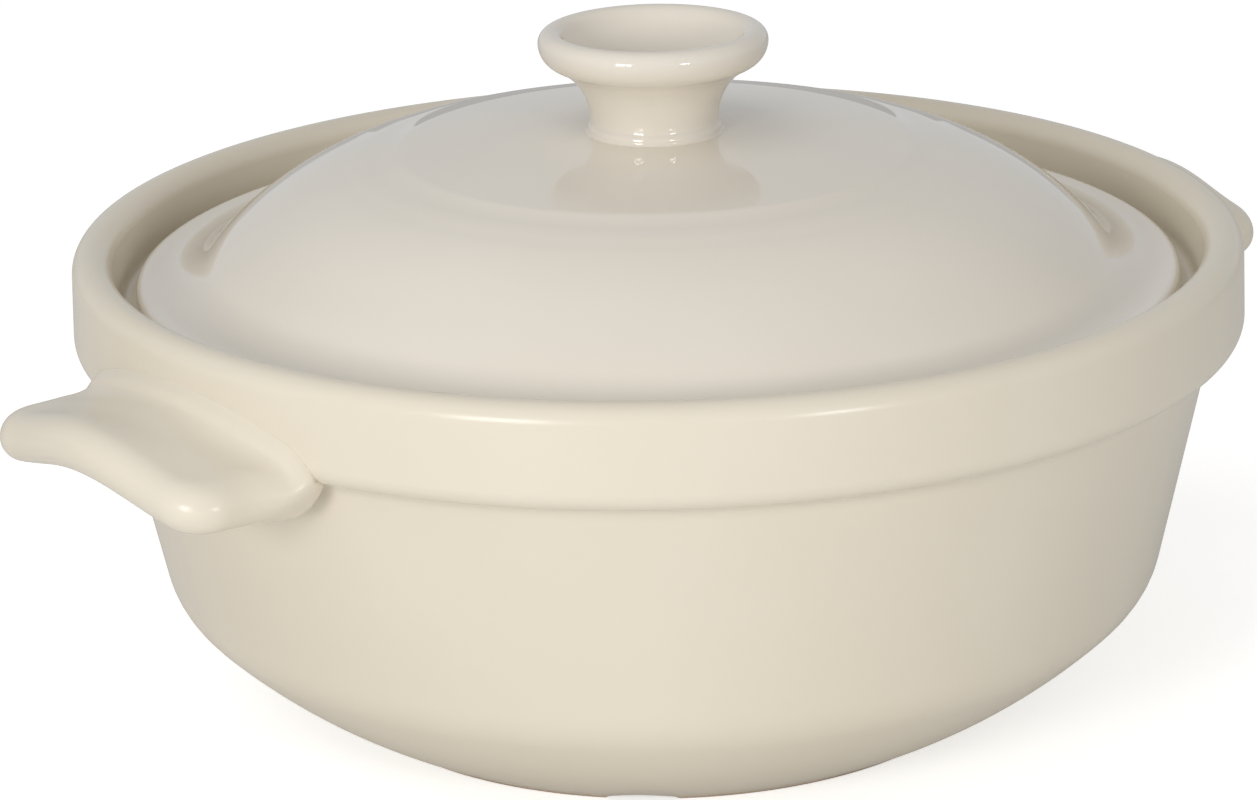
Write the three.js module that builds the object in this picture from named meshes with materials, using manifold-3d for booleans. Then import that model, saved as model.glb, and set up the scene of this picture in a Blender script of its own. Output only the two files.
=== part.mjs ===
// Clay pot: a glazed stoneware bowl with two lug handles and a domed lid with a hollow knob.
// Millimetres, +Z up, the origin under the middle of the foot, the handles along X.

import * as THREE from 'three';
import { mergeVertices } from 'three/addons/utils/BufferGeometryUtils.js';
import Module from 'manifold-3d';

const wasm = await Module();
wasm.setup();

// Bowl, from the collar down
const rimRadius = 142; // outside of the collar
const potHeight = 117.5; // table to the top of the lip
const lipRound = 4.8; // the lip is a half round of this radius
const collarDepth = 14.9; // lip's round to the round on the collar's lower edge
const collarEdgeRound = 4.6;
const collarFlare = 0.4; // the lower edge stands this much wider than the lip
const collarStep = 6.4; // collar's lower edge out from the wall under it
const wallDraft = 12.1; // degrees, the wall leans in towards the floor
const wallThickness = 9;
const shoulderHeight = 37.7; // where the straight wall turns under
const shoulderRound = 19.1;
const shoulderTurn = 44.6; // degrees below level where the shoulder meets the belly
const bellyRound = 143;
const floorHeight = 11; // inside floor above the table

// Foot ring and its notches
const footWidth = 10;
const footRecess = 4; // underside of the bowl inside the ring
const footSlope = 2; // the recess opens by this much on its way down
const footEdge = 0.8; // small break on the ring's edges
const notchCount = 3;
const notchWidth = 17.5;
const notchHeight = 3.4;
const notchAngle = 231.7; // degrees, the notch at the front
const notchOverrun = 10; // the cut runs past each side of the ring

// Lid gallery inside the collar
const collarThickness = 10.7; // collar just above the ledge
const seatDepth = 15.2; // ledge below the top of the lip
const seatWidth = 10; // lid's edge overlaps the ledge by this much
const galleryFillet = 2.5;
const ledgeNose = 2.5;
const ledgeNoseEnd = 200; // degrees, where the nose's round ends underneath
const corbelDrop = 21; // ledge's underside runs back into the wall over this height

// Lid, from the edge in
const lidClearance = 4.3; // lid's edge to the collar, all round
const lidThickness = 6.3;
const lidEdgeLean = 10.2; // degrees, the edge tips up by this much
const gutterRound = 15; // hollow between the edge and the dome
const domeRound = 76;
const domeTurn = 47.9; // degrees, steepest slope of the dome
const crownRound = 477; // nearly flat disc in the middle
const lineOffset = 13; // fine turned line, out from the crown's edge
const lineDepth = 0.35;
const lineWidth = 1.8;

// Knob: a hollow trumpet on a small bead
const knobHeight = 21.8; // lid's crown to the widest of the rim
const knobRimRadius = 24.6; // middle of the round on top of the rim
const knobRimRound = 3.2;
const knobUnderRound = 6; // fuller round under the rim
const knobRimUnder = 70; // degrees below level, where the neck runs into the rim
const knobRimInside = 25; // degrees above level, where the rim runs into the cup
const knobNeckRadius = 15.1; // narrowest, just above the bead
const knobNeckRound = 15; // hollow curve of the neck
const knobBeadRound = 1.75;
const knobBeadRadius = 16.5;

// Lug handles, measured out from the collar, up from its lower edge and across from their middle
const handleReach = 25.8; // at the corners
const handleBow = 3.4; // outer edge bows out by this much more at its middle
const handleHalfWidth = 42;
const handleCornerRound = 11; // corners seen from above
const handleRoll = 6; // round all along the edge
const handleSideRoll = 7; // the sides' round is a little wider
const handleSideFlat = 0.1; // left flat at each side's widest
const handleRise = 1; // middle of the outer edge
const handleArch = 6.6; // outer edge drops this much towards its corners
const handleRootDepth = 40; // root's start, inside the collar's radius
const handleSkew = 1.3; // degrees, both handles sit a touch towards the front
const browRise = 8.6; // ridge where the handle's top meets the collar
const browDrop = 10.5; // ridge falls this much towards the handle's sides
const browOut = 2; // ridge out from the collar's face
const browIn = 1.2; // ridge's back runs up into the collar
const browClimb = 2.6;
const hollowOut = 6.5; // foot of the ridge, out from the collar's face
const hollowDepth = 1.6;
const dishDepth = 1.4; // hollow for the thumb
const dishShare = 0.6; // of the way from the collar to the outer edge's round
const rootDrop = 3.4; // underside falls this much from the edge to the collar
const rootCurve = 1.5;
const noseStart = 0.7; // share of the half width, from there the root rounds up under the collar
const noseRun = 7;
const noseLift = 6.5;
const noseDrop = 1.2; // what is left of the root's fall at the sides
const noseRound = 7; // each side rounds in by this much under the collar

// Clearance
const lutingGap = 0.3; // joint between the pieces that are stuck together

// Facets
const roundSegments = 64;
const knobSegments = 36;
const chordError = 0.2;
const chordShare = 0.2; // of the radius, on the smallest rounds
const pointSpacing = 0.05; // nearer points are one
const weldDistance = 0.0001;
const handleStations = 26;
const handleTopSteps = 10;
const handleRollSteps = 8;
const handleUnderSteps = 3;
const handleNoseSteps = 4;

const radians = THREE.MathUtils.degToRad;
const degrees = THREE.MathUtils.radToDeg;

const lipCentre = new THREE.Vector2(rimRadius - lipRound, potHeight - lipRound);
const collarEdge = new THREE.Vector2(
  rimRadius + collarFlare - collarEdgeRound,
  lipCentre.y - collarDepth,
);
const galleryRadius = rimRadius - collarThickness;
const lidRadius = galleryRadius - lidClearance;
const ledgeRadius = lidRadius - seatWidth;
const seatHeight = potHeight - seatDepth;
const lidShape = lidCurve();

const bowlGlaze = new THREE.MeshStandardMaterial({ color: 0xe2d9c6, roughness: 0.38, metalness: 0 });
const lidGlaze = new THREE.MeshStandardMaterial({ color: 0xdcd5c8, roughness: 0.16, metalness: 0 });

// A point at an angle (degrees from level) and a distance from a centre
function polar(centre, radius, angle) {
  return new THREE.Vector2(
    centre.x + radius * Math.cos(radians(angle)),
    centre.y + radius * Math.sin(radians(angle)),
  );
}

// Points along an arc, close enough together to stay within the chord error
function arc(centre, radius, from, to) {
  const step = 2 * Math.acos(1 - Math.min(chordError / radius, chordShare));
  const steps = Math.max(2, Math.ceil(Math.abs(radians(to - from)) / step));
  const points = [];
  for (let i = 0; i <= steps; i += 1) {
    points.push(polar(centre, radius, from + ((to - from) * i) / steps));
  }
  return points;
}

// Points along a hollow curve from one point up to another, its centre to the right of them
function hollow(from, to, radius) {
  const chord = to.clone().sub(from);
  const half = chord.length() / 2;
  const across = new THREE.Vector2(chord.y, -chord.x).normalize();
  const middle = from.clone().add(to).multiplyScalar(0.5);
  const centre = middle.addScaledVector(across, Math.sqrt(radius ** 2 - half ** 2));
  const turn = degrees(Math.asin(half / radius));
  const facing = degrees(Math.atan2(-across.y, -across.x));
  return arc(centre, radius, facing + turn, facing - turn);
}

// Radius of the bowl's outside wall at a height, moved in by a depth square to it
function wallRadius(height, depth) {
  const top = rimRadius + collarFlare - collarStep;
  const run = (collarEdge.y - height) * Math.tan(radians(wallDraft));
  return top - run - depth / Math.cos(radians(wallDraft));
}

// Centre of the round that turns the wall under
function shoulderCentre() {
  const wallEnd = new THREE.Vector2(wallRadius(shoulderHeight, 0), shoulderHeight);
  return polar(wallEnd, shoulderRound, 180 - wallDraft);
}

// Spin a profile that runs from the axis out, up and back to the axis
function turned(profile, segments) {
  const points = [];
  for (const point of profile) {
    const last = points[points.length - 1];
    if (!last || last.distanceTo(point) > pointSpacing) points.push(point);
  }
  return new THREE.LatheGeometry(points, segments).rotateX(Math.PI / 2);
}

// Geometry to solid and back
function toSolid(geometry) {
  const bare = geometry.clone();
  bare.deleteAttribute('normal');
  bare.deleteAttribute('uv');
  const merged = mergeVertices(bare, weldDistance);
  const triangles = [];
  for (let i = 0; i < merged.index.count; i += 3) {
    const corners = [0, 1, 2].map((k) => merged.index.getX(i + k));
    if (new Set(corners).size === 3) triangles.push(...corners);
  }
  return new wasm.Manifold(new wasm.Mesh({
    numProp: 3,
    vertProperties: new Float32Array(merged.attributes.position.array),
    triVerts: new Uint32Array(triangles),
  }));
}

function toGeometry(solid) {
  const mesh = solid.getMesh();
  const geometry = new THREE.BufferGeometry();
  geometry.setAttribute('position', new THREE.BufferAttribute(mesh.vertProperties, 3));
  geometry.setIndex(new THREE.BufferAttribute(mesh.triVerts, 1));
  geometry.computeVertexNormals();
  return geometry;
}

function piece(name, geometry, material) {
  const mesh = new THREE.Mesh(geometry, material);
  mesh.name = name;
  return mesh;
}

// Outside of the bowl from the foot to the lip's top, moved out by a gap
function bowlOutside(gap) {
  const shoulder = shoulderCentre();
  const belly = polar(shoulder, bellyRound - shoulderRound, 180 - shoulderTurn);
  const footTurn = degrees(Math.asin((belly.y - footEdge) / bellyRound));
  const faceTilt = degrees(Math.atan2(collarFlare, collarDepth));
  const undercut = -90 - wallDraft;
  const corner = polar(collarEdge, collarEdgeRound, undercut);
  return [
    ...arc(belly, bellyRound + gap, -footTurn, -shoulderTurn),
    ...arc(shoulder, shoulderRound + gap, -shoulderTurn, -wallDraft),
    new THREE.Vector2(wallRadius(corner.y, -gap), corner.y - gap),
    ...arc(collarEdge, collarEdgeRound + gap, undercut, faceTilt),
    ...arc(lipCentre, lipRound + gap, faceTilt, 90),
  ];
}

// Inside of the bowl from the lip down to the floor, with the ledge for the lid
function bowlInside() {
  const lipInside = lipCentre.x - lipRound;
  const lipTilt = degrees(Math.atan2(lipInside - galleryRadius, lipCentre.y - seatHeight));
  const fillet = new THREE.Vector2(galleryRadius - galleryFillet, seatHeight + galleryFillet);
  const nose = new THREE.Vector2(ledgeRadius + ledgeNose, seatHeight - ledgeNose);
  const corbelEnd = seatHeight - corbelDrop;
  const shoulder = shoulderCentre();
  const turn = polar(shoulder, shoulderRound - wallThickness, -shoulderTurn);
  const bowlRound = (turn.y - floorHeight) / (1 - Math.sin(radians(shoulderTurn)));
  const bowl = polar(turn, bowlRound, 180 - shoulderTurn);
  return [
    ...arc(lipCentre, lipRound, 90, 180 + lipTilt),
    ...arc(fillet, galleryFillet, 0, -90),
    ...arc(nose, ledgeNose, 90, ledgeNoseEnd),
    new THREE.Vector2(wallRadius(corbelEnd, wallThickness), corbelEnd),
    ...arc(shoulder, shoulderRound - wallThickness, -wallDraft, -shoulderTurn),
    ...arc(bowl, bowlRound, -shoulderTurn, -90),
    new THREE.Vector2(0, floorHeight),
  ];
}

// Underside: the recess inside the foot ring, then the ring's flat
function footProfile(footRadius) {
  const inner = footRadius - footWidth;
  return [
    new THREE.Vector2(0, footRecess),
    new THREE.Vector2(inner - footSlope, footRecess),
    new THREE.Vector2(inner, footEdge),
    new THREE.Vector2(inner + footEdge, 0),
    new THREE.Vector2(footRadius - footEdge, 0),
  ];
}

// A scoop through the foot ring, lying along a radius
function notchCutter(footRadius, angle) {
  const radius = (notchWidth ** 2 / 4 + notchHeight ** 2) / (2 * notchHeight);
  const length = footWidth + 2 * notchOverrun;
  const cutter = new THREE.CylinderGeometry(radius, radius, length, roundSegments);
  cutter.rotateZ(Math.PI / 2);
  cutter.translate(footRadius - footWidth / 2, 0, notchHeight - radius);
  cutter.rotateZ(radians(angle));
  return cutter;
}

function makeBowl() {
  const outside = bowlOutside(0);
  const footRadius = outside[0].x;
  const profile = [...footProfile(footRadius), ...outside, ...bowlInside()];
  let solid = toSolid(turned(profile, roundSegments));
  for (let i = 0; i < notchCount; i += 1) {
    const angle = notchAngle + (360 * i) / notchCount;
    solid = solid.subtract(toSolid(notchCutter(footRadius, angle)));
  }
  return piece('bowl', toGeometry(solid), bowlGlaze);
}

// Centres and angles of the lid's arcs, from the edge on its seat in to the crown
function lidCurve() {
  const edgeRound = lidThickness / 2;
  const edge = new THREE.Vector2(lidRadius - edgeRound, seatHeight + edgeRound);
  const gutter = polar(edge, edgeRound + gutterRound, 90 + lidEdgeLean);
  const dome = polar(gutter, gutterRound + domeRound, 270 - domeTurn);
  const crownTurn = degrees(Math.acos(dome.x / (crownRound - domeRound)));
  const crown = new THREE.Vector2(0, dome.y - Math.sqrt((crownRound - domeRound) ** 2 - dome.x ** 2));
  const crownEdge = polar(crown, crownRound, crownTurn);
  const line = degrees(Math.acos((crownEdge.x + lineOffset - dome.x) / domeRound));
  const top = crown.y + crownRound;
  return { edge, edgeRound, gutter, dome, crown, crownTurn, line, top };
}

// Lid: one even thickness of clay, flat underneath where it rests on the ledge
function makeLid() {
  const { edge, edgeRound, gutter, dome, crown, crownTurn, line } = lidShape;
  const underRound = gutterRound + lidThickness;
  const flat = degrees(Math.acos((gutter.y - seatHeight) / underRound));
  const halfLine = degrees(lineWidth / 2 / domeRound);
  const under = [
    ...arc(crown, crownRound - lidThickness, 90, crownTurn),
    ...arc(dome, domeRound - lidThickness, crownTurn, 90 - domeTurn),
    ...arc(gutter, underRound, 270 - domeTurn, 270 - flat),
  ];
  const top = [
    ...arc(edge, edgeRound, -90, 90 + lidEdgeLean),
    ...arc(gutter, gutterRound, -90 + lidEdgeLean, -90 - domeTurn),
    ...arc(dome, domeRound, 90 - domeTurn, line - halfLine),
    polar(dome, domeRound - lineDepth, line),
    ...arc(dome, domeRound, line + halfLine, crownTurn),
    ...arc(crown, crownRound, crownTurn, 90),
  ];
  return piece('lid', turned([...under, ...top], roundSegments), lidGlaze);
}

// Knob: bead, flared neck, rolled rim, then down into the cup
function makeKnob() {
  const { crown, top } = lidShape;
  const seatRound = crownRound + lutingGap;
  const seatTurn = degrees(Math.asin((knobBeadRadius - knobBeadRound) / seatRound));
  const seatEdge = polar(crown, seatRound, 90 - seatTurn);
  const bead = new THREE.Vector2(seatEdge.x, seatEdge.y + knobBeadRound);
  const beadTurn = degrees(Math.acos((knobNeckRadius - bead.x) / knobBeadRound));
  const rim = new THREE.Vector2(knobRimRadius, top + knobHeight);
  const neckFoot = polar(bead, knobBeadRound, beadTurn);
  const rimUnder = new THREE.Vector2(rim.x + knobRimRound - knobUnderRound, rim.y);
  const neckTop = polar(rimUnder, knobUnderRound, -knobRimUnder);
  const cup = new THREE.Vector2(0, rim.y + rim.x * Math.tan(radians(knobRimInside)));
  const cupRound = cup.distanceTo(rim) - knobRimRound;
  return piece('knob', turned([
    ...arc(crown, seatRound, 90, 90 - seatTurn),
    ...arc(bead, knobBeadRound, -90, beadTurn),
    ...hollow(neckFoot, neckTop, knobNeckRound),
    ...arc(rimUnder, knobUnderRound, -knobRimUnder, 0),
    ...arc(rim, knobRimRound, 0, 180 - knobRimInside),
    ...arc(cup, cupRound, -knobRimInside, -90),
  ], knobSegments), lidGlaze);
}

// Where a slice of a handle meets the collar's face
function collarFace(across) {
  return Math.sqrt((rimRadius + collarFlare) ** 2 - across ** 2);
}

// Top of a slice from inside the collar out to the outer edge's round: ridge, hollow and dish
function handleTop(across, crest) {
  const { lerp } = THREE.MathUtils;
  const fall = across / handleHalfWidth;
  const face = collarFace(across);
  const brow = collarEdge.y + browRise - browDrop * fall ** 2;
  const middleShare = Math.cos((Math.PI / 2) * fall) ** 2;
  const hollowShare = hollowOut / (crest.x - face);
  const hollowFloor = lerp(brow, crest.y, hollowShare) - hollowDepth * middleShare;
  const dishFloor = lerp(brow, crest.y, dishShare) - dishDepth * middleShare;
  return new THREE.SplineCurve([
    new THREE.Vector2(face - browIn, brow + browClimb),
    new THREE.Vector2(face + browOut, brow),
    new THREE.Vector2(face + hollowOut, hollowFloor),
    new THREE.Vector2(lerp(face, crest.x, dishShare), dishFloor),
    crest,
  ]);
}

// Underside of a slice from the outer edge's round in to the root, as a fall below the edge
function handleUnder(across, from) {
  const { lerp, smoothstep } = THREE.MathUtils;
  const side = smoothstep(Math.abs(across) / handleHalfWidth, noseStart, 1);
  const face = collarFace(across);
  const drop = lerp(rootDrop, noseDrop, side);
  const points = [];
  for (let i = 1; i <= handleUnderSteps; i += 1) {
    const share = i / handleUnderSteps;
    points.push(new THREE.Vector2(lerp(from, face, share), -drop * share ** rootCurve));
  }
  for (let i = 1; i <= handleNoseSteps; i += 1) {
    const turn = (Math.PI / 2) * (i / handleNoseSteps);
    const lift = noseLift * side * (1 - Math.cos(turn));
    points.push(new THREE.Vector2(face - noseRun * Math.sin(turn), lift - drop));
  }
  const end = points[points.length - 1];
  points.push(new THREE.Vector2(rimRadius - handleRootDepth, end.y));
  return points;
}

// One slice of a handle, square to the collar: a tab with round corners and a rolled edge
function handleSlice(across) {
  const aside = Math.abs(across);
  const fall = aside / handleHalfWidth;
  const bow = handleBow * Math.cos((Math.PI / 2) * fall) ** 2;
  const cornerAt = rimRadius + handleReach + bow - handleCornerRound;
  const pastCorner = Math.max(aside - handleHalfWidth + handleCornerRound, 0);
  const pastRoll = Math.max(aside - handleHalfWidth + handleSideRoll, 0) / handleSideRoll;
  const thin = Math.sqrt(1 - pastRoll ** 2);
  const middle = collarEdge.y + handleRise - (handleArch * (1 - Math.cos(Math.PI * fall))) / 2;
  const edge = (share) => {
    const inset = 1 - Math.sqrt(1 - share ** 2);
    const along = handleCornerRound - handleRoll * inset;
    const beside = handleCornerRound - handleSideRoll * inset;
    return cornerAt + along * Math.sqrt(Math.max(1 - (pastCorner / beside) ** 2, 0));
  };
  const crest = new THREE.Vector2(edge(thin), middle + handleRoll);
  const squeeze = (point) => new THREE.Vector2(point.x, middle + (point.y - middle) * thin);
  const points = handleTop(across, crest).getPoints(handleTopSteps);
  points.unshift(new THREE.Vector2(rimRadius - handleRootDepth, points[0].y));
  for (let i = 1; i <= handleRollSteps; i += 1) {
    const share = Math.cos((Math.PI * i) / handleRollSteps);
    points.push(new THREE.Vector2(edge(share * thin), middle + handleRoll * share));
  }
  for (const point of handleUnder(across, crest.x)) {
    points.push(new THREE.Vector2(point.x, middle - handleRoll + point.y));
  }
  return points.map(squeeze);
}

// Share of its width that a handle keeps at a distance out, where its sides round in to the wall
function handleNarrowing(out) {
  const past = THREE.MathUtils.clamp(collarFace(handleHalfWidth) - out, 0, noseRound);
  const inset = noseRound - Math.sqrt(noseRound ** 2 - past ** 2);
  return 1 - inset / handleHalfWidth;
}

// A solid skinned over the slices, closed by a fan at each end
function handleBlank() {
  const positions = [];
  const indices = [];
  let count = 0;
  for (let i = 0; i <= handleStations; i += 1) {
    const turn = Math.PI * (i / handleStations - 0.5);
    const across = (handleHalfWidth - handleSideFlat) * Math.sin(turn);
    const slice = handleSlice(across);
    count = slice.length;
    for (const point of slice) {
      positions.push(point.x, across * handleNarrowing(point.x), point.y);
    }
  }
  for (let i = 0; i < handleStations; i += 1) {
    for (let k = 0; k < count; k += 1) {
      const a = i * count + k;
      const b = i * count + ((k + 1) % count);
      indices.push(a, b, a + count, b, b + count, a + count);
    }
  }
  const last = handleStations * count;
  for (let k = 1; k < count - 1; k += 1) {
    indices.push(0, k + 1, k);
    indices.push(last, last + k, last + k + 1);
  }
  const geometry = new THREE.BufferGeometry();
  geometry.setAttribute('position', new THREE.Float32BufferAttribute(positions, 3));
  geometry.setIndex(indices);
  return geometry;
}

// The room that the bowl takes up where a handle is stuck on
function bowlRoom() {
  const outside = bowlOutside(lutingGap);
  const bottom = outside[0].y;
  const top = outside[outside.length - 1].y;
  return turned([
    new THREE.Vector2(0, bottom),
    ...outside,
    new THREE.Vector2(0, top),
  ], roundSegments);
}

function makeHandle(name, angle) {
  const blank = toSolid(handleBlank().rotateZ(radians(angle)));
  const solid = blank.subtract(toSolid(bowlRoom()));
  return piece(name, toGeometry(solid), bowlGlaze);
}

const pot = new THREE.Group();
pot.add(makeBowl());
pot.add(makeHandle('handle_right', -handleSkew));
pot.add(makeHandle('handle_left', 180 + handleSkew));
pot.add(makeLid());
pot.add(makeKnob());

export default pot;
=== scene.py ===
import math
import bpy
from mathutils import Matrix, Vector


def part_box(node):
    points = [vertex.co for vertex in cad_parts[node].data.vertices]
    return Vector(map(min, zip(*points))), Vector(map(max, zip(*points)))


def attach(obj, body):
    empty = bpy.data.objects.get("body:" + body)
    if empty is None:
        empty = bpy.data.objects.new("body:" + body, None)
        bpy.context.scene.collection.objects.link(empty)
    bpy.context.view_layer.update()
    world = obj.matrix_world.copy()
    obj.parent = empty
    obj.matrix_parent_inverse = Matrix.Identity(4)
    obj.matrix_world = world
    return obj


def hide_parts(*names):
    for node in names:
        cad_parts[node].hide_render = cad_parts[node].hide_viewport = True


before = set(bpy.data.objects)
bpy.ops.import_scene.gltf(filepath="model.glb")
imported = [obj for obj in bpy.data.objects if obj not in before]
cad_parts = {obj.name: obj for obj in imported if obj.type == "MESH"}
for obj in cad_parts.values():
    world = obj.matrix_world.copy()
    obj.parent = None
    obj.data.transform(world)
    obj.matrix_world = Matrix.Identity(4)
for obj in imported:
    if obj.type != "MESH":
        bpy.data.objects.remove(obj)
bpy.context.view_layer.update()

mm = 0.001
scene = bpy.context.scene
scene.view_settings.view_transform = "Standard"


# drawing: a point is in millimetres, how far out from the axis and how far up

drawing = {
    "shortest": 0.02,       # mm, a shorter line is skipped
    "arcTurn": 7,           # degrees, the longest step round an arc
    "weld": 0.01,           # mm, closer vertices are merged
}


def polar(centre, radius, degrees):
    turn = math.radians(degrees)
    return (centre[0] + radius * math.cos(turn), centre[1] + radius * math.sin(turn))


def mix(first, second, share):
    return first + (second - first) * share


def editMode():
    bpy.ops.object.mode_set(mode="EDIT")


def objectMode():
    bpy.ops.object.mode_set(mode="OBJECT")


def startProfile(name, point):
    bpy.ops.object.select_all(action="DESELECT")
    bpy.ops.mesh.primitive_plane_add(size=mm)
    piece = bpy.context.object
    piece.name = name
    editMode()
    bpy.ops.mesh.select_mode(type="VERT")
    bpy.ops.mesh.select_all(action="SELECT")
    bpy.ops.mesh.merge(type="CENTER")    # one vertex to draw with
    bpy.ops.transform.translate(value=(point[0] * mm, 0, point[1] * mm))
    return piece


def drawLine(tip, point):
    step = ((point[0] - tip[0]) * mm, 0, (point[1] - tip[1]) * mm)
    if Vector(step).length > drawing["shortest"] * mm:
        bpy.ops.mesh.extrude_vertices_move(TRANSFORM_OT_translate={"value": step})
    return point


def drawArc(tip, arc, arcStep):
    centre, radius, start, end = arc
    drawLine(tip, polar(centre, radius, start))
    sweep = abs(end - start)
    byTurn = math.ceil(sweep / drawing["arcTurn"])
    byLength = math.ceil(math.radians(sweep) * radius / arcStep)
    bpy.ops.mesh.spin(steps=max(byTurn, byLength), angle=math.radians(end - start), axis=(0, 1, 0),
                      center=(centre[0] * mm, 0, centre[1] * mm))
    return polar(centre, radius, end)


def closeSkin():
    bpy.ops.mesh.select_all(action="SELECT")
    bpy.ops.mesh.remove_doubles(threshold=drawing["weld"] * mm)
    bpy.ops.mesh.normals_make_consistent(inside=False)


def turnPiece(name, strokes, sizes):
    # a stroke is a point to draw a line to, or an arc: centre, radius, start and end in degrees
    tip = strokes[0]
    piece = startProfile(name, tip)
    for stroke in strokes[1:]:
        tip = drawArc(tip, stroke, sizes["arcStep"]) if len(stroke) == 4 else drawLine(tip, stroke)
    bpy.ops.mesh.select_all(action="SELECT")
    bpy.ops.mesh.spin(steps=sizes["spinSteps"], angle=math.tau, axis=(0, 0, 1), center=(0, 0, 0))
    closeSkin()
    objectMode()
    return piece


def smooth(piece, degrees):
    bpy.ops.object.select_all(action="DESELECT")
    piece.select_set(True)
    bpy.context.view_layer.objects.active = piece
    bpy.ops.object.shade_smooth_by_angle(angle=math.radians(degrees))


def finishPiece(piece, material, body, node):
    piece.data.materials.clear()
    piece.data.materials.append(material)
    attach(piece, body)
    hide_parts(node)
    print("piece", piece.name, len(piece.data.polygons), "faces")


# glazes: a noise is its scale, detail and roughness

noiseSpan = (0.3, 0.7)      # where a noise runs from the dark colour to the light one


def nodeTree(name):
    material = bpy.data.materials.new(name)
    material.use_nodes = True
    nodes = material.node_tree.nodes
    return material, nodes, material.node_tree.links, nodes["Principled BSDF"]


def noiseOn(nodes, links, scale, detail, rough):
    place = nodes.new("ShaderNodeTexCoord")
    noise = nodes.new("ShaderNodeTexNoise")
    noise.inputs["Scale"].default_value = scale
    noise.inputs["Detail"].default_value = detail
    noise.inputs["Roughness"].default_value = rough
    links.new(place.outputs["Object"], noise.inputs["Vector"])
    return noise.outputs["Fac"]


def rampOn(nodes, links, source, dark, light):
    ramp = nodes.new("ShaderNodeValToRGB")
    links.new(source, ramp.inputs["Fac"])
    for element, place, colour in zip(ramp.color_ramp.elements, noiseSpan, (dark, light)):
        element.position = place
        element.color = (*colour, 1)
    return ramp.outputs["Color"]


def rangeOn(nodes, links, source, low, high, start=0, end=1):
    span = nodes.new("ShaderNodeMapRange")
    links.new(source, span.inputs["Value"])
    span.inputs["From Min"].default_value = start
    span.inputs["From Max"].default_value = end
    span.inputs["To Min"].default_value = low
    span.inputs["To Max"].default_value = high
    return span.outputs["Result"]


def bumpOn(nodes, links, height, distance, strength, normal=None):
    bump = nodes.new("ShaderNodeBump")
    bump.inputs["Distance"].default_value = distance * mm
    bump.inputs["Strength"].default_value = strength
    links.new(height, bump.inputs["Height"])
    if normal:
        links.new(normal, bump.inputs["Normal"])
    return bump.outputs["Normal"]


def mixColour(nodes, links, share, first, second):
    blend = nodes.new("ShaderNodeMix")
    blend.data_type = "RGBA"
    links.new(share, blend.inputs["Factor"])
    for socket, colour in ((blend.inputs["A"], first), (blend.inputs["B"], second)):
        if isinstance(colour, tuple):
            socket.default_value = (*colour, 1)
        else:
            links.new(colour, socket)
    return blend.outputs["Result"]


satinGlaze = {
    "light": (0.80, 0.735, 0.615),
    "dark": (0.765, 0.695, 0.57),
    "cloud": (9, 3, 0.5),
    "clay": (0.64, 0.52, 0.41),
    "clayDark": (0.55, 0.44, 0.34),
    "grain": (900, 2, 0.6),
    "bareLine": 0.6,        # mm up the foot that the glaze is wiped off, before the line wanders
    "bareFade": 0.5,
    "bareWander": 0.8,
    "wander": (60, 2, 0.5),
    "roughness": (0.21, 0.26),
    "sheen": (30, 2, 0.5),
    "bareRough": 0.5,       # added where the clay is bare
    "wave": (25, 2, 0.5),   # slow unevenness, then the fine skin
    "waveHeight": 0.4,
    "waveStrength": 0.12,
    "peel": (650, 2, 0.5),
    "peelHeight": 0.05,
    "peelStrength": 0.15,
    "ior": 1.5,
    "specular": 0.32,
}


def wipedFoot(nodes, links):
    # 1 on the bare clay and 0 on the glaze above it
    place = nodes.new("ShaderNodeTexCoord")
    split = nodes.new("ShaderNodeSeparateXYZ")
    links.new(place.outputs["Object"], split.inputs["Vector"])
    height = nodes.new("ShaderNodeMath")
    height.operation = "MULTIPLY_ADD"
    links.new(noiseOn(nodes, links, *satinGlaze["wander"]), height.inputs[0])
    height.inputs[1].default_value = -satinGlaze["bareWander"] * mm
    links.new(split.outputs["Z"], height.inputs[2])
    fadeStart = (satinGlaze["bareLine"] - satinGlaze["bareFade"]) * mm
    return rangeOn(nodes, links, height.outputs["Value"], 1, 0, fadeStart, satinGlaze["bareLine"] * mm)


def makeSatinGlaze():
    material, nodes, links, shader = nodeTree("satinGlaze")
    cloud = noiseOn(nodes, links, *satinGlaze["cloud"])
    body = rampOn(nodes, links, cloud, satinGlaze["dark"], satinGlaze["light"])
    grain = noiseOn(nodes, links, *satinGlaze["grain"])
    clay = rampOn(nodes, links, grain, satinGlaze["clayDark"], satinGlaze["clay"])
    bare = wipedFoot(nodes, links)
    links.new(mixColour(nodes, links, bare, body, clay), shader.inputs["Base Color"])
    sheen = rangeOn(nodes, links, noiseOn(nodes, links, *satinGlaze["sheen"]), *satinGlaze["roughness"])
    rough = nodes.new("ShaderNodeMath")
    rough.operation = "MULTIPLY_ADD"
    rough.use_clamp = True
    links.new(bare, rough.inputs[0])
    rough.inputs[1].default_value = satinGlaze["bareRough"]
    links.new(sheen, rough.inputs[2])
    links.new(rough.outputs["Value"], shader.inputs["Roughness"])
    wave = bumpOn(nodes, links, noiseOn(nodes, links, *satinGlaze["wave"]),
                  satinGlaze["waveHeight"], satinGlaze["waveStrength"])
    peel = bumpOn(nodes, links, noiseOn(nodes, links, *satinGlaze["peel"]),
                  satinGlaze["peelHeight"], satinGlaze["peelStrength"], wave)
    links.new(peel, shader.inputs["Normal"])
    shader.inputs["IOR"].default_value = satinGlaze["ior"]
    shader.inputs["Specular IOR Level"].default_value = satinGlaze["specular"]
    return material


glossGlaze = {
    "light": (0.835, 0.78, 0.688),
    "dark": (0.805, 0.745, 0.65),
    "cloud": (9, 3, 0.5),
    "roughness": (0.025, 0.045),
    "sheen": (30, 2, 0.5),
    "wave": (22, 2, 0.5),
    "waveHeight": 0.3,
    "waveStrength": 0.06,
    "ior": 1.52,
}


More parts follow.
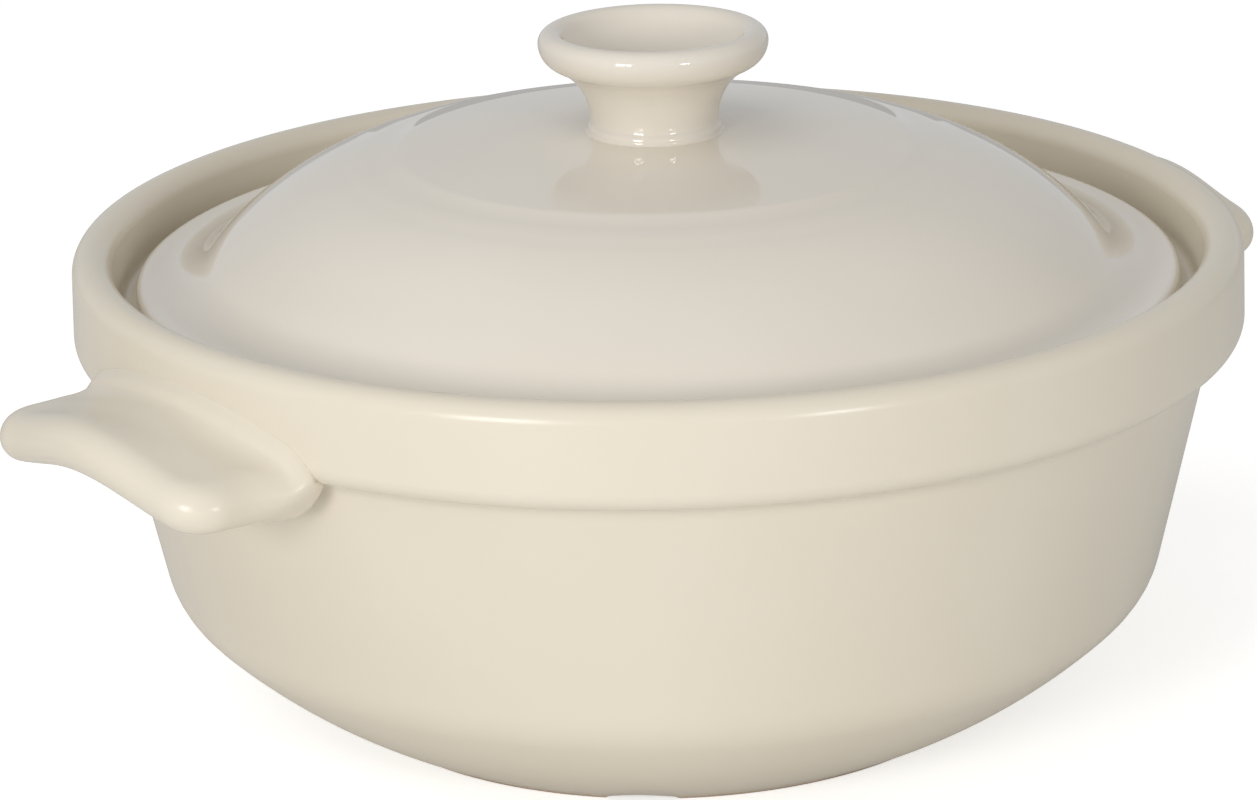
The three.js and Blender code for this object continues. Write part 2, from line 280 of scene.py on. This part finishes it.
def makeGlossGlaze():
    material, nodes, links, shader = nodeTree("glossGlaze")
    cloud = noiseOn(nodes, links, *glossGlaze["cloud"])
    body = rampOn(nodes, links, cloud, glossGlaze["dark"], glossGlaze["light"])
    links.new(body, shader.inputs["Base Color"])
    sheen = rangeOn(nodes, links, noiseOn(nodes, links, *glossGlaze["sheen"]), *glossGlaze["roughness"])
    links.new(sheen, shader.inputs["Roughness"])
    wave = bumpOn(nodes, links, noiseOn(nodes, links, *glossGlaze["wave"]),
                  glossGlaze["waveHeight"], glossGlaze["waveStrength"])
    links.new(wave, shader.inputs["Normal"])
    shader.inputs["IOR"].default_value = glossGlaze["ior"]
    return material


satin = makeSatinGlaze()
gloss = makeGlossGlaze()
print("glazes ready")


# bowl: one line from the middle of the underside, round the outside and down the inside

bowl = {
    "rim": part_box("bowl")[1].x / mm,
    "height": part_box("bowl")[1].z / mm,
    "seat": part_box("lid")[0].z / mm,
    "flare": 0.4,           # the collar leans in by this at the lip
    "lipRound": 4.8,
    "collarDepth": 14.9,
    "collarRound": 4.6,
    "collarStep": 6.4,
    "underTurn": 79,        # where the collar's round runs into the hollow below it
    "draft": 12.1,          # degrees that the wall leans out
    "wall": 9,
    "shoulder": 37.7,
    "shoulderRound": 19.1,
    "shoulderTurn": 44.6,
    "bellyRound": 143,
    "floor": 11,
    "footWidth": 10,
    "footRecess": 4,
    "footSlope": 2,
    "footEdge": 0.8,
    "gallery": 131.3,       # inside of the collar, above the ledge for the lid
    "galleryFillet": 2.5,
    "ledge": 117,
    "ledgeNose": 2.5,
    "noseTurn": 110,
    "corbel": 21,           # slope from the ledge back to the wall
    "arcStep": 3,
    "spinSteps": 224,
    "smoothAngle": 32,
}

lip = (bowl["rim"] - bowl["flare"] - bowl["lipRound"], bowl["height"] - bowl["lipRound"])
collarEdge = (bowl["rim"] - bowl["collarRound"], lip[1] - bowl["collarDepth"])


def wallRadius(height, depth=0):
    lean = math.radians(bowl["draft"])
    run = (collarEdge[1] - height) * math.tan(lean)
    return bowl["rim"] - bowl["collarStep"] - run - depth / math.cos(lean)


def bowlStrokes():
    shoulderEdge = (wallRadius(bowl["shoulder"]), bowl["shoulder"])
    shoulder = polar(shoulderEdge, bowl["shoulderRound"], 180 - bowl["draft"])
    belly = polar(shoulder, bowl["bellyRound"] - bowl["shoulderRound"], 180 - bowl["shoulderTurn"])
    footTurn = math.degrees(math.asin((belly[1] - bowl["footEdge"]) / bowl["bellyRound"]))
    foot = polar(belly, bowl["bellyRound"], -footTurn)
    ringInside = foot[0] - bowl["footWidth"]
    faceTilt = math.degrees(math.atan2(bowl["flare"], bowl["collarDepth"]))
    facing = math.cos(math.radians(bowl["underTurn"] - bowl["draft"]))
    step = (collarEdge[0] - wallRadius(collarEdge[1])) * math.cos(math.radians(bowl["draft"]))
    underRound = (step + bowl["collarRound"] * facing) / (1 - facing)
    under = polar(collarEdge, bowl["collarRound"] + underRound, -bowl["underTurn"])
    lipInside = lip[0] - bowl["lipRound"] - bowl["gallery"]
    lipTilt = math.degrees(math.atan2(lipInside, lip[1] - bowl["seat"]))
    fillet = (bowl["gallery"] - bowl["galleryFillet"], bowl["seat"] + bowl["galleryFillet"])
    nose = (bowl["ledge"] + bowl["ledgeNose"], bowl["seat"] - bowl["ledgeNose"])
    corbelEnd = bowl["seat"] - bowl["corbel"]
    innerRound = bowl["shoulderRound"] - bowl["wall"]
    innerTurn = polar(shoulder, innerRound, -bowl["shoulderTurn"])
    dishRound = (innerTurn[1] - bowl["floor"]) / (1 - math.sin(math.radians(bowl["shoulderTurn"])))
    dish = polar(innerTurn, dishRound, 180 - bowl["shoulderTurn"])
    return [
        (0, bowl["footRecess"]),
        (ringInside - bowl["footSlope"], bowl["footRecess"]),
        (ringInside, bowl["footEdge"]),
        (ringInside + bowl["footEdge"], 0),
        (foot[0] - bowl["footEdge"], 0),
        (belly, bowl["bellyRound"], -footTurn, -bowl["shoulderTurn"]),
        (shoulder, bowl["shoulderRound"], -bowl["shoulderTurn"], -bowl["draft"]),
        (under, underRound, 180 - bowl["draft"], 180 - bowl["underTurn"]),
        (collarEdge, bowl["collarRound"], -bowl["underTurn"], faceTilt),
        (lip, bowl["lipRound"], faceTilt, 180 + lipTilt),
        (fillet, bowl["galleryFillet"], 0, -90),
        (nose, bowl["ledgeNose"], 90, 90 + bowl["noseTurn"]),
        (wallRadius(corbelEnd, bowl["wall"]), corbelEnd),
        (shoulder, innerRound, -bowl["draft"], -bowl["shoulderTurn"]),
        (dish, dishRound, -bowl["shoulderTurn"], -90),
        (0, bowl["floor"]),
    ]


# notches in the foot ring, cut by lying cylinders

footNotch = {
    "count": 3,
    "angle": 227.3,         # degrees, the notch nearest the camera
    "width": 17.5,
    "height": 3.4,
    "radius": 75,
    "length": 34,
    "sides": 96,
}


def cutNotches(piece):
    cutRadius = (footNotch["width"] ** 2 / 4 + footNotch["height"] ** 2) / (2 * footNotch["height"])
    for k in range(footNotch["count"]):
        turn = math.radians(footNotch["angle"] + 360 * k / footNotch["count"])
        middle = (footNotch["radius"] * math.cos(turn) * mm, footNotch["radius"] * math.sin(turn) * mm,
                  (footNotch["height"] - cutRadius) * mm)
        bpy.ops.object.select_all(action="DESELECT")
        bpy.ops.mesh.primitive_cylinder_add(vertices=footNotch["sides"], radius=cutRadius * mm,
                                            depth=footNotch["length"] * mm,
                                            location=middle, rotation=(0, math.pi / 2, turn))
        cutter = bpy.context.object
        bpy.context.view_layer.objects.active = piece
        cut = piece.modifiers.new("notch", "BOOLEAN")
        cut.operation = "DIFFERENCE"
        cut.solver = "EXACT"
        cut.object = cutter
        bpy.ops.object.modifier_apply(modifier=cut.name)
        bpy.data.objects.remove(cutter)


bowlPiece = turnPiece("bowlBody", bowlStrokes(), bowl)
cutNotches(bowlPiece)
smooth(bowlPiece, bowl["smoothAngle"])
finishPiece(bowlPiece, satin, "pot", "bowl")


# lid: edge on the ledge, gutter, dome and a nearly flat crown

lid = {
    "radius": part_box("lid")[1].x / mm,
    "thick": 6.3,
    "edgeLean": 10.2,
    "edgeUnder": 4,         # rounds of the edge, below and on top
    "edgeTop": 1.8,
    "gutterRound": 15,
    "domeRound": 76,
    "domeTurn": 47.9,       # slope in degrees where the dome meets the gutter
    "crownRound": 477,
    "stepDepth": 0.16,      # fine ring where the crown meets the dome
    "stepTurn": 0.3,
    "stepFade": 5,
    "lineOffset": 13,       # second, softer ring
    "lineDepth": 0.14,
    "lineWidth": 4,
    "arcStep": 2,
    "spinSteps": 256,
    "smoothAngle": 40,
}


def lidArcs():
    edgeRound = lid["thick"] / 2
    edge = (lid["radius"] - edgeRound, bowl["seat"] + edgeRound)
    gutter = polar(edge, edgeRound + lid["gutterRound"], 90 + lid["edgeLean"])
    dome = polar(gutter, lid["gutterRound"] + lid["domeRound"], 270 - lid["domeTurn"])
    reach = lid["crownRound"] - lid["domeRound"]
    crownTurn = math.degrees(math.acos(dome[0] / reach))
    crown = (0, dome[1] - math.sqrt(reach ** 2 - dome[0] ** 2))
    return gutter, dome, crown, crownTurn


# three centres, and the angle where the crown meets the dome
lidGutter, lidDome, lidCrown, crownTurn = lidArcs()


def lidStrokes():
    under = lid["gutterRound"] + lid["thick"]
    flat = math.degrees(math.acos((lidGutter[1] - bowl["seat"]) / under))
    crownEdge = polar(lidCrown, lid["crownRound"], crownTurn)
    line = math.degrees(math.acos((crownEdge[0] + lid["lineOffset"] - lidDome[0]) / lid["domeRound"]))
    half = math.degrees(lid["lineWidth"] / 2 / lid["domeRound"])
    steep = 90 - lid["domeTurn"]
    edgeUnder = (lid["radius"] - lid["edgeUnder"], bowl["seat"] + lid["edgeUnder"])
    topReach = lid["gutterRound"] + lid["edgeTop"]
    topLean = math.degrees(math.asin((lid["radius"] - lid["edgeTop"] - lidGutter[0]) / topReach))
    edgeTop = polar(lidGutter, topReach, topLean - 90)
    return [
        (0, lidCrown[1] + lid["crownRound"] - lid["thick"]),
        (lidCrown, lid["crownRound"] - lid["thick"], 90, crownTurn),
        (lidDome, lid["domeRound"] - lid["thick"], crownTurn, steep),
        (lidGutter, under, 270 - lid["domeTurn"], 270 - flat),
        (edgeUnder, lid["edgeUnder"], -90, 0),
        (edgeTop, lid["edgeTop"], 0, 90 + topLean),
        (lidGutter, lid["gutterRound"], topLean - 90, -90 - lid["domeTurn"]),
        (lidDome, lid["domeRound"], steep, line - half),
        polar(lidDome, lid["domeRound"] - lid["lineDepth"], line),
        (lidDome, lid["domeRound"], line + half, crownTurn - lid["stepFade"]),
        polar(lidDome, lid["domeRound"] - lid["stepDepth"], crownTurn - lid["stepTurn"]),
        (lidCrown, lid["crownRound"], crownTurn, 90),
    ]


lidPiece = turnPiece("lidDome", lidStrokes(), lid)
smooth(lidPiece, lid["smoothAngle"])
finishPiece(lidPiece, gloss, "lid", "lid")


# knob: bead, hollow neck, rolled rim and cup

knob = {
    "height": 21.7,         # from the crown to the middle of the rim's round
    "rimRadius": 24.6,
    "rimRound": 3.2,
    "underRound": 6,
    "rimUnder": 70,         # degrees where the rim's round runs into the neck, and the cup
    "rimInside": 25,
    "neck": 15.6,
    "neckRound": 15,
    "beadRound": 2.2,
    "beadRadius": 16.3,
    "fillet": 0.9,          # glaze run into the corner on the lid
    "sink": 0.1,
    "arcStep": 1.2,
    "spinSteps": 160,
    "smoothAngle": 45,
}


def hollowArc(start, end, radius):
    chord = Vector((end[0] - start[0], end[1] - start[1]))
    half = chord.length / 2
    across = Vector((chord.y, -chord.x)).normalized()
    middle = (Vector(start) + Vector(end)) / 2 + across * math.sqrt(radius ** 2 - half ** 2)
    turn = math.degrees(math.asin(half / radius))
    facing = math.degrees(math.atan2(-across.y, -across.x))
    return (tuple(middle), radius, facing + turn, facing - turn)


def knobStrokes():
    top = lidCrown[1] + lid["crownRound"]
    spread = knob["beadRadius"] + knob["fillet"]
    foot = lidCrown[1] + math.sqrt(lid["crownRound"] ** 2 - spread ** 2) - knob["sink"]
    corner = (spread, foot + knob["fillet"])
    bead = (knob["beadRadius"] - knob["beadRound"], corner[1])
    beadTurn = math.degrees(math.acos((knob["neck"] - bead[0]) / knob["beadRound"]))
    rim = (knob["rimRadius"], top + knob["height"])
    rimUnder = (rim[0] + knob["rimRound"] - knob["underRound"], rim[1])
    neckFoot = polar(bead, knob["beadRound"], beadTurn)
    neckTop = polar(rimUnder, knob["underRound"], -knob["rimUnder"])
    cup = (0, rim[1] + rim[0] * math.tan(math.radians(knob["rimInside"])))
    cupRound = math.dist(cup, rim) - knob["rimRound"]
    return [
        (0, foot),
        (corner, knob["fillet"], -90, -180),
        (bead, knob["beadRound"], 0, beadTurn),
        hollowArc(neckFoot, neckTop, knob["neckRound"]),
        (rimUnder, knob["underRound"], -knob["rimUnder"], 0),
        (rim, knob["rimRound"], 0, 180 - knob["rimInside"]),
        (cup, cupRound, -knob["rimInside"], -90),
    ]


knobPiece = turnPiece("lidKnob", knobStrokes(), knob)
smooth(knobPiece, knob["smoothAngle"])
finishPiece(knobPiece, gloss, "lid", "knob")


# lug handles: a rolled tab of sections along the collar, its root inside the wall

lug = {
    "rim": 142,             # the reach is measured from this radius
    "reach": 25.8,
    "bow": 3.35,            # more reach in the middle
    "halfWidth": 42,
    "cornerRound": 11,
    "roll": 6,              # half the thickness
    "sideRoll": 7,
    "sideFlat": 0.02,       # keeps the last sections from closing to a line
    "rise": 1,
    "arch": 6.6,            # fall of the tab from the middle to the sides
    "root": 132.2,
    "skew": 1.3,            # degrees that each lug is turned to the front
    "browRise": 7.4,        # where the top comes to the collar, falling to the sides
    "browDrop": 8.6,
    "beadRise": 3.2,        # ridge along the collar
    "beadFade": 0.8,
    "beadOut": 3.4,
    "beadRoot": ((-0.5, 1.5), (-0.3, 1.2)),            # mm out from the collar, share of the rise
    "beadFall": ((0.2, 0.97), (0.6, 0.62), (1, 0)),    # share of the way out, share of the rise
    "hollowOut": 7,
    "hollow": 0.8,
    "dish": 1.1,
    "dishShare": 0.6,
    "rootDrop": 3.4,        # the underside thickens towards the wall
    "rootCurve": 1.5,
    "noseStart": 0.7,       # the root rounds up under the collar towards the sides
    "noseRun": 7,
    "noseLift": 6.5,
    "noseDrop": 1.2,
    "noseRound": 7,
    "noseFlare": 2,         # the upper half of each side spreads on to the collar
    "flareRun": 16,
    "noseRaise": 2,
    "raiseRun": 6,
    "topSteps": 36,
    "rollSteps": 22,
    "underSteps": 8,
    "noseSteps": 10,
    "rootSteps": 6,
    "stations": 72,
    "startRadius": 10,      # of the cylinder that is pulled into shape
    "smoothAngle": 60,
}


def smoothStep(value, start, end):
    share = min(max((value - start) / (end - start), 0), 1)
    return share * share * (3 - 2 * share)


def catmullRom(points, count):
    # count points along a curve through the inner points, the first and last only steer it
    curve = []
    spans = len(points) - 3
    for k in range(count):
        place = k / (count - 1) * spans
        span = min(int(place), spans - 1)
        t = place - span
        curve.append(tuple(
            0.5 * (2 * b + (c - a) * t + (2 * a - 5 * b + 4 * c - d) * t ** 2
                   + (3 * b - a - 3 * c + d) * t ** 3)
            for a, b, c, d in zip(*points[span:span + 4])))
    return curve


def collarFace(across):
    return math.sqrt(bowl["rim"] ** 2 - across ** 2)


def lugMiddle(across):
    fall = abs(across) / lug["halfWidth"]
    return collarEdge[1] + lug["rise"] - lug["arch"] * (1 - math.cos(math.pi * fall)) / 2


def lugTop(across, crest):
    fall = across / lug["halfWidth"]
    face = collarFace(across)
    brow = collarEdge[1] + lug["browRise"] - lug["browDrop"] * fall ** 2
    bead = lug["beadRise"] * (1 - lug["beadFade"] * fall ** 4)
    hollowShare = lug["hollowOut"] / (crest[0] - face)
    hollow = lug["hollow"] * (1 - fall ** 4)
    dishAt = mix(face, crest[0], lug["dishShare"])
    dish = lug["dish"] * math.cos(math.pi / 2 * fall) ** 2
    points = [(face + out, brow + share * bead) for out, share in lug["beadRoot"]]
    points += [(face + out * lug["beadOut"], brow + share * bead) for out, share in lug["beadFall"]]
    points += [
        (face + lug["hollowOut"], mix(brow, crest[1], hollowShare) - hollow),
        (dishAt, mix(brow, crest[1], lug["dishShare"]) - dish),
        crest,
        (2 * crest[0] - dishAt, crest[1]),
    ]
    return catmullRom(points, lug["topSteps"])


def lugUnder(across, start):
    side = smoothStep(abs(across) / lug["halfWidth"], lug["noseStart"], 1)
    face = collarFace(across)
    drop = mix(lug["rootDrop"], lug["noseDrop"], side)
    under = []
    for k in range(1, lug["underSteps"] + 1):
        share = k / lug["underSteps"]
        under.append((mix(start, face, share), -drop * share ** lug["rootCurve"]))
    for k in range(1, lug["noseSteps"] + 1):
        turn = math.pi / 2 * k / lug["noseSteps"]
        under.append((face - lug["noseRun"] * math.sin(turn),
                      lug["noseLift"] * side * (1 - math.cos(turn)) - drop))
    return under


def lugSection(across):
    aside = abs(across)
    roll = lug["roll"]
    corner = lug["cornerRound"]
    bow = lug["bow"] * math.cos(math.pi / 2 * aside / lug["halfWidth"]) ** 2
    cornerAt = lug["rim"] + lug["reach"] + bow - corner
    pastCorner = max(aside - lug["halfWidth"] + corner, 0)
    pastRoll = max(aside - lug["halfWidth"] + lug["sideRoll"], 0) / lug["sideRoll"]
    thin = math.sqrt(1 - pastRoll ** 2)
    middle = lugMiddle(across)

    def edge(share):
        inset = 1 - math.sqrt(1 - share ** 2)
        beside = corner - lug["sideRoll"] * inset
        return cornerAt + (corner - roll * inset) * math.sqrt(max(1 - (pastCorner / beside) ** 2, 0))

    section = lugTop(across, (edge(thin), middle + roll))
    for k in range(1, lug["rollSteps"] + 1):
        share = math.cos(math.pi * k / lug["rollSteps"])
        section.append((edge(share * thin), middle + roll * share))
    section += [(out, middle - roll + up) for out, up in lugUnder(across, edge(thin))]
    root = math.sqrt(lug["root"] ** 2 - across ** 2)
    bottom = section[-1][1]
    for k in range(lug["rootSteps"]):
        share = k / (lug["rootSteps"] - 1)
        section.append((root, mix(bottom, section[0][1], share)))
    return [(out, middle + (up - middle) * thin) for out, up in section]


def lugNose(across, out, up):
    # near the collar each side spreads and lifts in its upper half, then rounds in to the wall
    face = collarFace(lug["halfWidth"])
    near = 1 - smoothStep(out, face, face + lug["flareRun"])
    raised = 1 - smoothStep(out, face, face + lug["raiseRun"])
    upper = smoothStep(up, lugMiddle(across) - lug["roll"], lugMiddle(across))
    fall = across / lug["halfWidth"]
    past = min(max(face - out, 0), lug["noseRound"])
    inset = lug["noseRound"] - math.sqrt(lug["noseRound"] ** 2 - past ** 2)
    width = lug["halfWidth"] + lug["noseFlare"] * near * upper - inset
    return fall * width, up + lug["noseRaise"] * raised * upper * fall ** 4


def startLug(name, corners):
    # a cylinder along the collar, cut into stations that lie closer at the sides
    width = lug["halfWidth"] - lug["sideFlat"]
    bpy.ops.object.select_all(action="DESELECT")
    bpy.ops.mesh.primitive_cylinder_add(vertices=corners, radius=lug["startRadius"] * mm,
                                        depth=2 * width * mm, end_fill_type="NGON",
                                        rotation=(math.pi / 2, 0, 0))
    piece = bpy.context.object
    piece.name = name
    bpy.ops.object.transform_apply(location=True, rotation=True, scale=True)
    editMode()
    for k in range(1, lug["stations"]):
        place = width * math.sin(math.pi * (k / lug["stations"] - 0.5))
        bpy.ops.mesh.select_all(action="SELECT")
        bpy.ops.mesh.bisect(plane_co=(0, place * mm, 0), plane_no=(0, 1, 0))
    objectMode()
    return piece


def makeLug(name, node, degrees):
    corners = len(lugSection(0))
    piece = startLug(name, corners)
    sections = {}
    for vert in piece.data.vertices:
        across = vert.co.y / mm
        station = round(across, 3)
        if station not in sections:
            sections[station] = lugSection(across)
        turn = math.atan2(vert.co.x, vert.co.z) % math.tau
        out, up = sections[station][round(turn / math.tau * corners) % corners]
        across, up = lugNose(across, out, up)
        vert.co = (out * mm, across * mm, up * mm)
    piece.data.transform(Matrix.Rotation(math.radians(degrees), 4, "Z"))
    editMode()
    bpy.ops.mesh.select_all(action="DESELECT")
    bpy.ops.mesh.select_face_by_sides(number=4, type="GREATER")    # the two end caps
    bpy.ops.mesh.quads_convert_to_tris(ngon_method="BEAUTY")
    closeSkin()
    objectMode()
    smooth(piece, lug["smoothAngle"])
    finishPiece(piece, satin, "pot", node)


makeLug("lugRight", "handle_right", -lug["skew"])
makeLug("lugLeft", "handle_left", 180 + lug["skew"])


# camera, fitted to the photograph's frame

view = {
    "azimuth": 38.3,
    "distance": 1098.6,     # mm from the middle of the lip's circle
    "elevation": 16.303,
    "yaw": -0.426,
    "pitch": 18.286,
    "roll": -1.3008,
    "lens": 128.88,
    "sensor": 36,
    "clipStart": 0.05,
}


def makeCamera():
    back = math.radians(-view["azimuth"])
    lift = math.radians(view["elevation"])
    flat = view["distance"] * math.cos(lift)
    place = Vector((flat * math.sin(back), -flat * math.cos(back),
                    lip[1] + view["distance"] * math.sin(lift)))
    bpy.ops.object.camera_add()
    camera = bpy.context.object
    camera.name = "photoCamera"
    camera.data.lens = view["lens"]
    camera.data.sensor_width = view["sensor"]
    camera.data.clip_start = view["clipStart"]
    camera.matrix_world = (
        Matrix.Translation(place * mm)
        @ Matrix.Rotation(math.radians(-view["azimuth"] - view["yaw"]), 4, "Z")
        @ Matrix.Rotation(math.radians(90 - view["pitch"]), 4, "X")
        @ Matrix.Rotation(math.radians(view["roll"]), 4, "Z"))
    scene.camera = camera


makeCamera()
print("camera ready")


# white floor and soft studio light

studio = {
    "floor": 6,             # m across
    "white": (0.9, 0.9, 0.9),
    "floorRough": 0.9,
    "floorSpecular": 0.1,
    "floorLift": 0.56,      # brings the lit floor up to white for the camera alone
    "ambient": 0.4,
    "reflected": 0.72,      # room seen in the glaze
    "daylight": (1, 1, 1),
    "roomTint": (0.93, 0.96, 1),
    "aim": (0, 0, 0.09),
}

# metres and watts, with azimuth and elevation in degrees as seen from the pot
lamps = {
    "softLeft": {
        "azimuth": -67, "elevation": 14, "distance": 1.3,
        "size": 0.36, "power": 5.2, "mirrored": True,
    },
    "softRight": {
        "azimuth": -7, "elevation": 14, "distance": 1.3,
        "size": 0.22, "power": 2.6, "mirrored": True,
    },
    "overhead": {
        "azimuth": -85, "elevation": 62, "distance": 1.8,
        "size": 1.4, "power": 6.1, "mirrored": False,
    },
}


def makeFloor():
    bpy.ops.object.select_all(action="DESELECT")
    bpy.ops.mesh.primitive_plane_add(size=studio["floor"])
    floor = bpy.context.object
    floor.name = "studioFloor"
    material, nodes, links, shader = nodeTree("floorWhite")
    shader.inputs["Base Color"].default_value = (*studio["white"], 1)
    shader.inputs["Roughness"].default_value = studio["floorRough"]
    shader.inputs["Specular IOR Level"].default_value = studio["floorSpecular"]
    shader.inputs["Emission Color"].default_value = (1, 1, 1, 1)
    path = nodes.new("ShaderNodeLightPath")
    lift = rangeOn(nodes, links, path.outputs["Is Camera Ray"], 0, studio["floorLift"])
    links.new(lift, shader.inputs["Emission Strength"])
    floor.data.materials.append(material)


def makeWorld():
    # white to the camera, a tinted room to the glaze and a dimmer one to all else
    world = bpy.data.worlds.new("studioWorld")
    scene.world = world
    world.use_nodes = True
    nodes = world.node_tree.nodes
    links = world.node_tree.links
    background = nodes["Background"]
    path = nodes.new("ShaderNodeLightPath")
    glossy = path.outputs["Is Glossy Ray"]
    tint = mixColour(nodes, links, glossy, studio["daylight"], studio["roomTint"])
    links.new(tint, background.inputs["Color"])
    strength = nodes.new("ShaderNodeMath")
    strength.operation = "MAXIMUM"
    links.new(rangeOn(nodes, links, glossy, studio["ambient"], studio["reflected"]), strength.inputs[0])
    links.new(path.outputs["Is Camera Ray"], strength.inputs[1])
    links.new(strength.outputs["Value"], background.inputs["Strength"])


def makeLamps():
    aim = Vector(studio["aim"])
    for name, lamp in lamps.items():
        turn = math.radians(lamp["azimuth"])
        lift = math.radians(lamp["elevation"])
        back = Vector((math.sin(turn) * math.cos(lift), -math.cos(turn) * math.cos(lift), math.sin(lift)))
        bpy.ops.object.light_add(type="AREA", location=aim + back * lamp["distance"])
        light = bpy.context.object
        light.name = name
        light.data.shape = "SQUARE"
        light.data.size = lamp["size"]
        light.data.energy = lamp["power"]
        light.rotation_euler = (-back).to_track_quat("-Z", "Y").to_euler()
        light.visible_glossy = lamp["mirrored"]


makeFloor()
makeWorld()
makeLamps()
print("studio ready")
